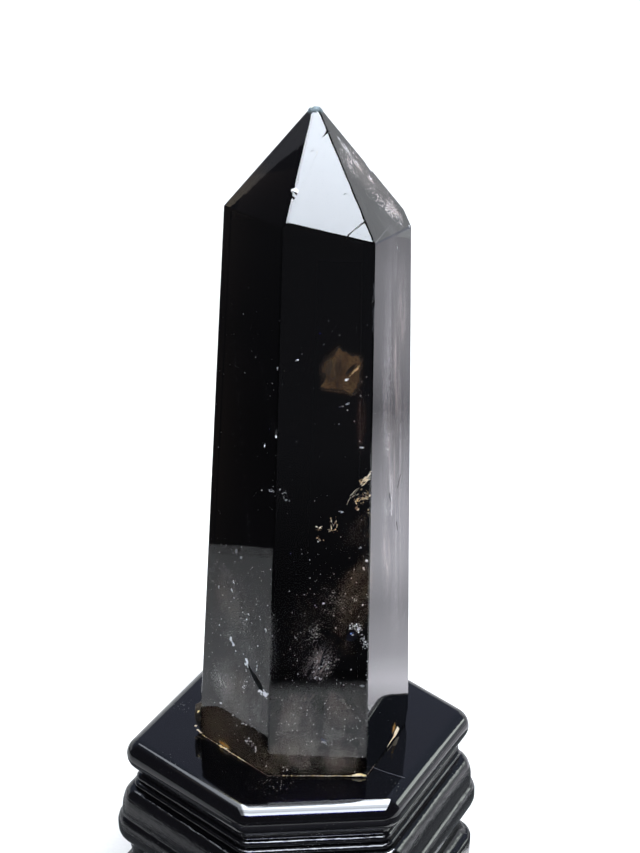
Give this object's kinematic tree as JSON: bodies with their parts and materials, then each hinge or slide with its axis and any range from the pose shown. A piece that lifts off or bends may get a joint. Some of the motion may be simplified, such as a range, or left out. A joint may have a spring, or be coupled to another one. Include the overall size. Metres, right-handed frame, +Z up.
{
  "type": "smoky quartz point on a wooden stand",
  "caption": "Tall six-sided polished smoky quartz point with a pyramid crown, resting upright on a black lacquered hexagonal wooden stand with stepped mouldings.",
  "frame": {"origin": "middle of the stand's underside, on the surface it stands on", "axes": "+Z up along the crystal, -Y towards the viewer of the picture, +X to that viewer's right"},
  "size_m": [0.0938, 0.0868, 0.2023],
  "materials": {
    "smoky_quartz": "polished, clear smoky brown to near black, with rusty clouds and small bright cracks inside",
    "black_lacquer": "gloss black lacquer over close-grained wood"
  },
  "bodies": {
    "root": {"crystal_point": "smoky_quartz", "stand_top_board": "black_lacquer", "stand_moulded_body": "black_lacquer"}
  },
  "joints": []
}
